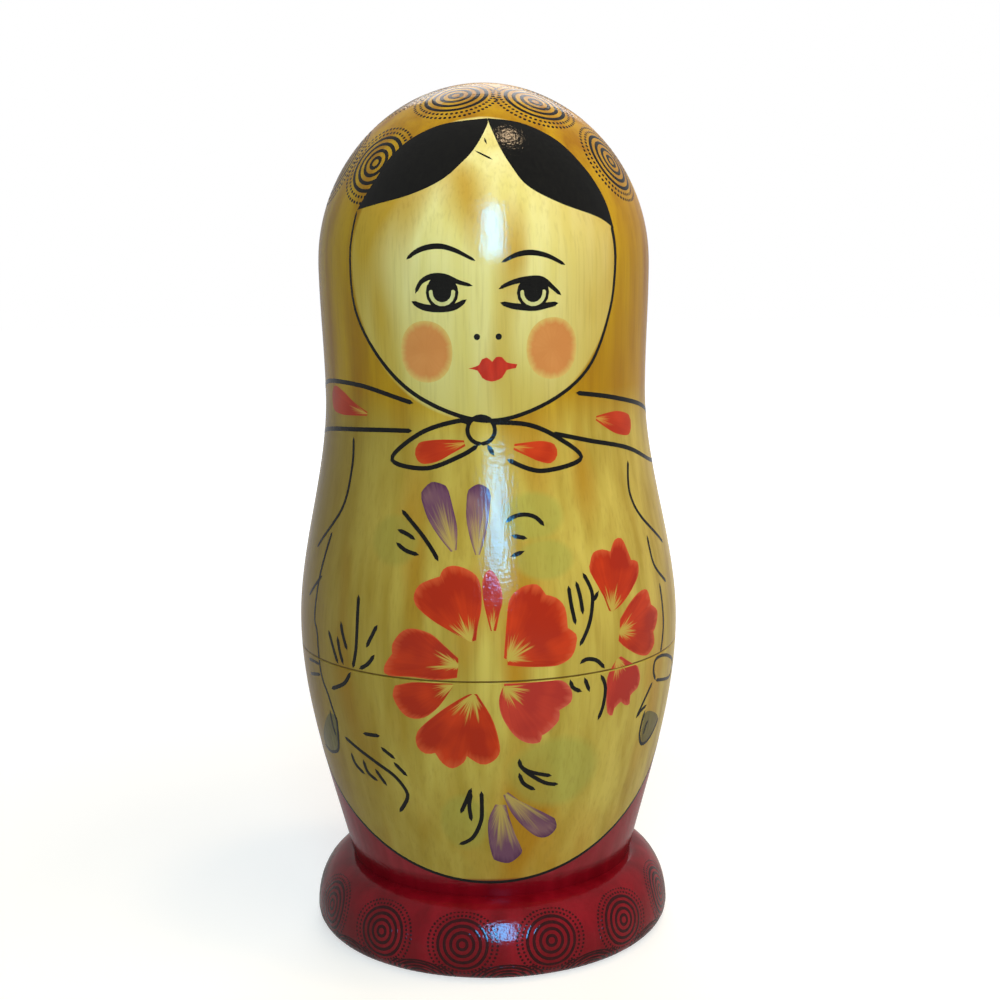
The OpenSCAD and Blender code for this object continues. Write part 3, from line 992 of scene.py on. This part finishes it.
print(len(SCARF_LINES), "lines on the kerchief and", len(SLEEVE_LINES), "on sleeves and hands")

# %% Flowers
PETALS = (
    ((-5, 79.5), ([(-6, 80), (-11, 82.5), (-16.5, 85.5), (-21, 89), (-21.5, 92), (-20, 94.5), (-17, 96),
                   (-14, 97)],
                  [(-14, 97), (-13, 99), (-10.5, 100), (-7, 99.5), (-3.5, 97.5), (-2, 94), (-2, 88.5),
                   (-3, 84), (-3.5, 80)])),
    ((1, 82.5), ([(0.5, 82.5), (-1.5, 91), (-1.5, 96.5), (0.5, 99), (3, 96), (4, 91), (3, 87), (2, 82.5)],)),
    ((5, 74.5), ([(4, 75), (5, 85.5), (6, 91), (9.5, 94), (14, 94.5), (16.5, 91.5)],
                 [(16.5, 91.5), (19.5, 90.5), (22, 87.5), (22.5, 82)],
                 [(22.5, 82), (25, 80), (25, 77.5), (23.5, 74), (19.5, 72), (13.5, 72), (8, 72.5), (5, 73)])),
    ((-8.5, 73), ([(-9, 69.5), (-14.5, 68.7), (-22, 69), (-29.5, 68.7), (-31, 70), (-30, 72.5), (-28, 75)],
                  [(-28, 75), (-28, 77.5), (-25.5, 81), (-22, 82.5), (-16.5, 81.5), (-12.5, 78.5),
                   (-8.5, 75)])),
    ((-10, 67.5), ([(-10.5, 66.5), (-14.5, 61), (-19, 57.5), (-23.5, 57), (-26.5, 59), (-28.5, 63),
                    (-27.5, 66)],
                   [(-27.5, 66), (-22, 67.5), (-15.5, 67.8), (-10.5, 67.8)])),
    ((-4.5, 65), ([(-3.5, 65), (0.5, 58), (2.5, 51), (2.5, 47), (0, 44.5), (-3, 44), (-7, 46.5)],
                  [(-7, 46.5), (-8, 44.5), (-11.5, 42.5), (-14.5, 44), (-16.5, 47)],
                  [(-16.5, 47), (-19.5, 46.5), (-22, 48.5), (-21.5, 53), (-15, 59), (-8.5, 63.5),
                   (-5.5, 65)])),
    ((37.5, 84.5), ([(36.5, 85), (34, 91.5), (31, 96.5), (31.5, 99), (33, 101.5), (36.5, 102), (39.5, 101)],
                    [(39.5, 101), (42, 104), (45, 104), (46.5, 101.5), (48, 97.5)],
                    [(48, 97.5), (51, 96.5), (50.5, 93), (46, 89), (41.5, 86), (39, 85)])),
    ((40, 78.5), ([(40.5, 82), (44.5, 85.5), (49.5, 88), (54, 88), (55.5, 83.5)],
                  [(55.5, 83.5), (59, 81), (58, 77.5), (56, 75.5)],
                  [(56, 75.5), (56.5, 72), (53, 69.5), (48, 70.5), (42.5, 73.5), (39.5, 76)])))
ROSE_PETALS = (
    ((4, 67), ([(4, 67.8), (9.5, 67.8), (15, 67.8), (20.5, 67.5), (23.5, 64.5), (23.5, 61), (20, 59)],
               [(20, 59), (20, 56), (17, 53), (15, 52)],
               [(15, 52), (14.5, 50), (11, 50), (7, 52.5), (3.5, 58), (2.5, 63), (3.5, 66.5)])),
    ((39, 71), ([(40.5, 71.5), (44.5, 69), (48, 67), (49.5, 63), (48.5, 60.5)],
                [(48.5, 60.5), (45.5, 59), (45.5, 56.5), (43.5, 56.5), (41.5, 58)],
                [(41.5, 58), (39, 56.5), (38.5, 54.5), (36.5, 55.5), (35.5, 60), (35.5, 66.5), (38, 70)])))
BUDS = (
    [(-10, 104, 0.8), (-12, 109, 2.8), (-14.5, 114, 3.8), (-16.5, 119, 4), (-17, 120.5, 3.6)],
    [(-3, 103, 0.6), (-3, 107.5, 2), (-3, 113, 3), (-2.5, 119, 3.2), (-2.5, 120.5, 2.8)],
    [(3, 31, 1.5), (2.5, 26, 3), (3.5, 20, 3.8), (5, 15.5, 4.2), (5.5, 13.5, 4)],
    [(4.5, 34.5, 0.8), (8.5, 29.5, 2.2), (13.5, 25.5, 3.3), (18, 22.5, 3.6), (20.5, 22, 3)])
print(len(PETALS) + len(ROSE_PETALS), "petals and", len(BUDS), "buds")

# %% Twigs and the apron's edge
TWIG_HALF = 0.66
TWIGS = (
    [(-27.5, 114.5), (-20.5, 108.5), (-16.5, 104), (-14.5, 101)], [(-28.5, 109), (-25, 108), (-22, 106.5)],
    [(-28.5, 105.5), (-25, 103.5), (-20.5, 102.5)],
    [(5.5, 111.5), (8, 113), (11.5, 113.5), (15, 112.5), (17.5, 110)],
    [(7, 108), (12, 107)], [(6.5, 102.3), (11, 103.7)],
    [(-40.5, 90), (-40.5, 80), (-41, 74), (-42.5, 68.8)],
    [(-47.5, 81.5), (-46.5, 78), (-44.5, 73.5)], [(-53.5, 78), (-51.5, 74), (-49, 68.8)],
    [(-49, 77), (-48, 73), (-46.5, 69)], [(-33, 82.5), (-35, 79), (-37, 75.5)],
    [(-34, 74), (-36.5, 71), (-40, 69)], [(-43.5, 67.5), (-47, 63.5), (-54, 60.5)],
    [(23.5, 93.5), (24, 88), (25, 82.5)], [(26, 94.5), (27, 90), (27.5, 85)],
    [(28.5, 96.5), (31, 91), (30.5, 86), (29, 81.5), (26, 76.5)], [(33.5, 91), (31, 88)],
    [(26, 71.5), (27.5, 72.5), (29.5, 72.5), (32, 71.5), (34.5, 69)], [(23, 67.6), (24, 65), (27, 63.5)],
    [(27.5, 67.6), (29.5, 63)], [(33, 67.5), (34.5, 65), (35, 62.5), (34.5, 58), (33, 54)],
    [(-51, 46.5), (-43.5, 43.5), (-37.5, 41), (-31.5, 38), (-28, 34), (-28, 31), (-32, 26)],
    [(-41.5, 49.5), (-34.5, 50)], [(-35, 46.5), (-30, 43.5)], [(-31, 42.5), (-26.5, 38.5)],
    [(-49, 42), (-48, 38.5), (-44, 36)], [(-43.5, 41), (-42.5, 37), (-38.5, 35)],
    [(-39, 39), (-35, 34)],
    [(-6, 36.5), (-8, 32), (-10, 28)], [(-6, 35), (-7, 31), (-6.5, 25.5)],
    [(-3, 35.5), (-3, 30), (-3.5, 25.5), (-6.5, 20), (-11.5, 17.5)],
    [(8.5, 45.5), (9, 43), (12, 41), (19, 39)], [(8.5, 43.5), (11.5, 40.5), (17, 37), (21.5, 36)],
    [(8.5, 41), (10, 37.5), (14, 35)])
APRON_END = 185
APRON_STEP = 5
APRON_HALF = 0.5
print(len(TWIGS), "twigs")

# %% Rosettes on the kerchief and the foot
ROSETTE_R = 13.0
KERCHIEF_ROSETTES = (
    [(-21, 237), (40, 233), (100, 236), (165, 237), (-85, 237)]
    + [(turn, 209.5) for turn in (-47, 64.5, 101, 137, 173, -151, -115, -81)]
    + [(112 + 34 * i, 182) for i in range(5)]
    + [(129 + 34 * i, 155) for i in range(4)])
FOOT_COUNT = 13
FOOT_FIRST = -9.5
FOOT_UP = -15.5
FOOT_SIZE = 0.82
EDGE_UP = -27.0
FOOT_STEP = 360 / FOOT_COUNT
FOOT_ROSETTES = [(FOOT_FIRST + FOOT_STEP * i, FOOT_UP) for i in range(FOOT_COUNT)]
EDGE_ROSETTES = [(FOOT_FIRST + FOOT_STEP * (i + 0.5), EDGE_UP) for i in range(FOOT_COUNT)]
print(len(KERCHIEF_ROSETTES), "rosettes on the kerchief")

# %% [markdown]
# Rings, discs, cheeks and buds have a simple rule, so they are worked out. A bud or a dab is
# one press of the brush, and becomes a patch as wide as the brush was pressed.

# %% Shapes with a rule
ARC_STEPS = 16
CHEEK_STEPS = 24
END_ROUND = 0.55


def ring_of(centre, half, wide, start=0, end=360):
    """Points of a circle or arc on the largest doll, with a half width."""
    turn, up = centre
    radius = spot(largest, turn, up).xy.length / MM
    arc = [math.radians(start + (end - start) * i / ARC_STEPS) for i in range(ARC_STEPS + 1)]
    return [(turn + math.degrees(half * math.cos(a) / radius), up + half * math.sin(a), wide) for a in arc]


def even(half, points):
    """Give every point of a stroke the same half width."""
    return [(turn, up, half) for turn, up in points]


def cheek(centre):
    """An oval of rouge that is a little square."""
    turn, up = centre
    radius = spot(largest, turn, up).xy.length / MM
    arc = [math.tau * i / CHEEK_STEPS for i in range(CHEEK_STEPS + 1)]
    wide = math.degrees(CHEEK_WIDE / radius)
    rim = []
    for a in arc:
        x = math.copysign(abs(math.cos(a)) ** CHEEK_CORNER, math.cos(a))
        y = math.copysign(abs(math.sin(a)) ** CHEEK_CORNER, math.sin(a))
        rim.append((turn + wide * x, up + CHEEK_TALL * y))
    return centre, ([*rim[:-1], rim[0]],)


def disc(centre, half):
    """A round patch."""
    rim = [(turn, up) for turn, up, wide in ring_of(centre, half, 0)]
    return centre, ([*rim[:-1], rim[0]],)


def blade(stroke):
    """A bud or a dab as a patch: its root, its two sides and the round end between them."""
    near, far = [], []
    for i, (turn, up, half) in enumerate(stroke):
        behind = stroke[max(i - 1, 0)]
        ahead = stroke[min(i + 1, len(stroke) - 1)]
        radius = spot(largest, turn, up).xy.length / MM
        way = Vector((math.radians(ahead[0] - behind[0]) * radius, ahead[1] - behind[1])).normalized() * half
        aside = math.degrees(way.y / radius)
        near.append((turn - aside, up + way.x))
        far.append((turn + aside, up - way.x))
    tip = (turn + math.degrees(way.x / radius) * END_ROUND, up + way.y * END_ROUND)
    return stroke[0][:2], ([*near, tip, *far[::-1]],)


lines = list(FACE_LINES)
apron = [(turn, apron_edge(turn)) for turn in range(-APRON_END, APRON_END + 1, APRON_STEP)]
for half, group in ((SCARF_HALF, SCARF_LINES), (SLEEVE_HALF, SLEEVE_LINES), (TWIG_HALF, TWIGS),
                    (APRON_HALF, [apron])):
    lines += [even(half, points) for points in group]
lines.append(ring_of(KNOT, KNOT_HALF, *KNOT_LINE))
shines = [ring_of(centre, SHINE_HALF, *SHINE_LINE) for centre in IRISES]
print(len(lines), "black lines on each doll")

# %% [markdown]
# Each doll is painted on a whole copy of its outside, as a painter keeps it closed. The
# paint is then cut where the halves part, and each part rides on its own half.

# %% Laying and cutting the paint
BRUSH_SIDES = 6
STAMP_FINE = (49, 6)
STAMP_COARSE = (25, 4)
PATCH_COARSER = 1.2


def mesh_from(name, points, faces, edges, **values):
    """A mesh with a number at every point for each named value."""
    mesh = bpy.data.meshes.new(name)
    mesh.from_pydata(points, edges, faces)
    for label, numbers in values.items():
        mesh.attributes.new(label, "FLOAT", "POINT").data.foreach_set("value", numbers)
    return mesh


def brushed(doll, ground, paint, lift, strokes):
    """Draw strokes of (degrees, mm up, half width) on a doll."""
    size = doll["scale"]
    points = [spot(doll, turn, up) for stroke in strokes for turn, up, half in stroke]
    radius = [half * MM * size for stroke in strokes for turn, up, half in stroke]
    ends = set()
    for stroke in strokes:
        ends.add(len(stroke) + max(ends, default=0))
    edges = [(n, n + 1) for n in range(len(points) - 1) if n + 1 not in ends]
    source = new_object("strokes", mesh_from("strokes", points, [], edges, radius=radius))
    mesh = made_by(brush, source, {"Ground": ground, "Step": doll["detail"] * MM * size, "Sides": BRUSH_SIDES,
                                   "Lift": lift * size, "Sink": SINK * size, "Paint": paint})
    bpy.data.objects.remove(source)
    return mesh


def stamped(doll, ground, paint, lift, places, size, half):
    """Print rosettes at places on a doll, whole or only their upper half."""
    points = [spot(doll, turn, up) for turn, up in places]
    source = new_object("places", mesh_from("places", points, [], [], size=[size] * len(points)))
    scale = doll["scale"]
    turns, sides = STAMP_FINE if doll is largest else STAMP_COARSE
    mesh = made_by(stamp, source, {"Ground": ground, "Radius": ROSETTE_R * MM * scale, "Half": half,
                                   "Turns": turns, "Sides": sides, "Lift": lift * scale,
                                   "Sink": SINK * scale, "Paint": paint})
    bpy.data.objects.remove(source)
    return mesh


def patched(doll, paint, lift, patches):
    """Lay patches of one paint on a doll."""
    points, faces, along, across = [], [], [], []
    for number, (root, runs) in enumerate(patches):
        more = fan(doll, root, runs, lift * doll["scale"], doll["detail"] * PATCH_COARSER, number)
        faces += [tuple(n + len(points) for n in face) for face in more[1]]
        points += more[0]
        along += more[2]
        across += more[3]
    mesh = mesh_from("patches", points, faces, [], along=along, across=across)
    mesh.materials.append(paint)
    return mesh


def kept_part(mesh, low, high):
    """Cut a mesh at two heights, and close the cuts. Returns None where nothing is left."""
    work = bmesh.new()
    work.from_mesh(mesh)
    for height, up in ((low, 1), (high, -1)):
        if height is not None:
            everything = work.verts[:] + work.edges[:] + work.faces[:]
            bmesh.ops.bisect_plane(work, geom=everything, plane_co=(0, 0, height), plane_no=(0, 0, up),
                                   clear_inner=True)
    open_edges = [e for e in work.edges if e.is_boundary]
    bmesh.ops.holes_fill(work, edges=open_edges)
    part = mesh.copy()
    work.to_mesh(part)
    work.free()
    return closed(part) if len(part.polygons) else None


print("steps round a rosette:", STAMP_FINE[0] - 1, "on the largest,", STAMP_COARSE[0] - 1, "on the others")

# %% Heights of the coats
WASH_LIFT = 0.015 * MM
PRINT_LIFT = 0.02 * MM
DAB_LIFT = 0.025 * MM
PETAL_LIFT = 0.03 * MM
FIGURE_LIFT = 0.035 * MM
LINE_LIFT = 0.045 * MM
SHINE_LIFT = 0.06 * MM
print("coats of paint lie up to", SHINE_LIFT / MM, "mm above the wood")

# %% Paint every doll
SEAM_CUT = 0.3 * MM
REST_CUT = 0.25 * MM
FINE = 1.1
COARSE = 2.2

counts = {}
for doll in dolls:
    doll["detail"] = FINE if doll is largest else COARSE
    whole = turn_piece("ground", doll["outside"], doll["up"], len(doll["up"]), doll["sides"])
    ground = new_object("ground", whole)
    coats = {
        "hand_wash": patched(doll, olive, WASH_LIFT, HANDS),
        "cheeks": patched(doll, rouge, PRINT_LIFT, [cheek(c) for c in CHEEKS]),
        "kerchief_rosettes": stamped(doll, ground, black, PRINT_LIFT, KERCHIEF_ROSETTES, 1.0, False),
        "buds": patched(doll, violet, DAB_LIFT, [blade(b) for b in BUDS]),
        "kerchief_dabs": patched(doll, dab, DAB_LIFT, [blade(d) for d in SCARF_DABS]),
        "petals": patched(doll, vermilion, PETAL_LIFT, PETALS),
        "rose_petals": patched(doll, rose, PETAL_LIFT, ROSE_PETALS),
        "hair": patched(doll, black, FIGURE_LIFT, HAIR),
        "mouth": patched(doll, scarlet, FIGURE_LIFT, [MOUTH]),
        "irises": patched(doll, black, FIGURE_LIFT, [disc(c, IRIS_HALF) for c in IRISES]),
        "nostrils": patched(doll, black, FIGURE_LIFT, [disc(c, NOSTRIL_HALF) for c in NOSTRILS]),
        "lines": brushed(doll, ground, black, LINE_LIFT, lines),
        "eye_shine": brushed(doll, ground, straw, SHINE_LIFT, shines)}
    if doll is largest:
        coats["foot_rosettes"] = stamped(doll, ground, garnet, PRINT_LIFT, FOOT_ROSETTES, FOOT_SIZE, False)
        coats["edge_rosettes"] = stamped(doll, ground, garnet, PETAL_LIFT, EDGE_ROSETTES, FOOT_SIZE, True)
    for node in doll["pieces"]:
        cut = SEAM_CUT * doll["scale"]
        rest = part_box(node)[0].z + REST_CUT * doll["scale"]
        low = doll["seam"] + cut if node.endswith("_top") else rest
        high = doll["seam"] - cut if node.endswith("_bottom") else None
        for coat, mesh in coats.items():
            part = kept_part(mesh, low, high)
            if part:
                piece = new_object(coat + "_" + node, part)
                attach(piece, node)
                counts[piece.name] = sum(len(face.vertices) - 2 for face in part.polygons)
    bpy.data.objects.remove(ground)
print(len(counts), "painted pieces,", sum(counts.values()), "triangles, most in one:", max(counts.values()))

# %% [markdown]
# The scene is a plain pale studio. The floor is white paper that runs out to white, and the
# world is white where the camera and the reflections meet it, so the background needs no
# more light on the doll. A lamp can light the paint, show in the lacquer, or both. Here a
# bluish pane a little right of the camera shows only as the streak on forehead and breast,
# while the front lamp and the key on the right only light the paint, which leaves the left
# side darker. A small bulb overhead puts a warm spot on the hair.

# %% Floor and world
FLOOR_HALF = 3.0
PAPER_GLOW = 0.62
PAPER_NEAR = 0.15
PAPER_FAR = 0.8
SKY = 0.08
WHITE = (1, 1, 1, 1)
PAPER = {"Roughness": 0.9, "Specular IOR Level": 0.0, "Base Color": linear("#b8b8b8"),
         "Emission Color": WHITE}


def seen_plainly(tree):
    """1 for a ray from the camera or by way of gloss or glass, and 0 for the light on the doll."""
    rays = add(tree, "ShaderNodeLightPath").outputs
    plain = 0.0
    for ray in ("Is Camera Ray", "Is Glossy Ray", "Is Transmission Ray"):
        plain = add(tree, "ShaderNodeMath", {0: rays[ray], 1: plain}, operation="MAXIMUM")
    return plain


floor_mesh = bpy.data.meshes.new("floor")
corners = [(-FLOOR_HALF, -FLOOR_HALF, 0), (FLOOR_HALF, -FLOOR_HALF, 0), (FLOOR_HALF, FLOOR_HALF, 0),
           (-FLOOR_HALF, FLOOR_HALF, 0)]
floor_mesh.from_pydata(corners, [], [(0, 1, 2, 3)])
floor = new_object("floor", floor_mesh)
paper, tree, shader, place = finish("white_paper", PAPER)
away = add(tree, "ShaderNodeVectorMath", {0: place}, operation="LENGTH").outputs["Value"]
glow = add(tree, "ShaderNodeMapRange", {"Value": away, "From Min": PAPER_NEAR, "From Max": PAPER_FAR,
                                        "To Min": PAPER_GLOW, "To Max": 1.0})
glow = add(tree, "ShaderNodeMath", {0: seen_plainly(tree), 1: glow}, operation="MULTIPLY")
tree.links.new(glow.outputs[0], shader.inputs["Emission Strength"])
floor_mesh.materials.append(paper)

world = bpy.data.worlds.new("studio")
bpy.context.scene.world = world
world.use_nodes = True
tree = world.node_tree
sky = tree.nodes["Background"]
sky.inputs["Color"].default_value = WHITE
level = add(tree, "ShaderNodeMapRange", {"Value": seen_plainly(tree), "To Min": SKY, "To Max": 1.0})
tree.links.new(level.outputs[0], sky.inputs["Strength"])
print("floor", 2 * FLOOR_HALF, "m wide")

# %% Lamps
AIM_UP = 130 * MM
AIM = Vector((0, 0, AIM_UP))


def lamp(name, turn, rise, away, wide, tall, watts, colour, lights=True, shines=True):
    """An area lamp in degrees round from the front and up from level, aimed at the doll's middle."""
    light = bpy.data.lights.new(name, "AREA")
    light.shape = "RECTANGLE"
    light.size = wide
    light.size_y = tall
    light.energy = watts
    light.color = linear(colour)[:3]
    thing = new_object(name, light)
    thing.visible_diffuse = lights
    thing.visible_glossy = shines
    side = math.radians(turn)
    up = math.radians(rise)
    toward = Vector((math.sin(side) * math.cos(up), -math.cos(side) * math.cos(up), math.sin(up)))
    thing.location = AIM + toward * away
    thing.rotation_euler = (-toward).to_track_quat("-Z", "Y").to_euler()
    print(name, "lamp:", watts, "W")


# Each lamp: degrees round and up, metres away, metres wide and tall, watts, colour
lamp("window", 9, 26, 1.1, 0.46, 0.85, 1.0, "#fff6e6")
lamp("pane", 6.5, 23, 1.1, 0.22, 0.6, 40.0, "#3cb4ff", lights=False)
lamp("front", 2, 23, 1.1, 0.3, 0.9, 11.3, "#b4d9de", shines=False)
lamp("key", 52, 50, 1.0, 0.8, 0.8, 5.6, "#ffe2ba", shines=False)
lamp("bulb", 70, 77, 0.9, 0.1, 0.1, 1.7, "#ffdcae")
lamp("back", 178, 38, 1.3, 0.7, 0.7, 7.0, "#ffffff")
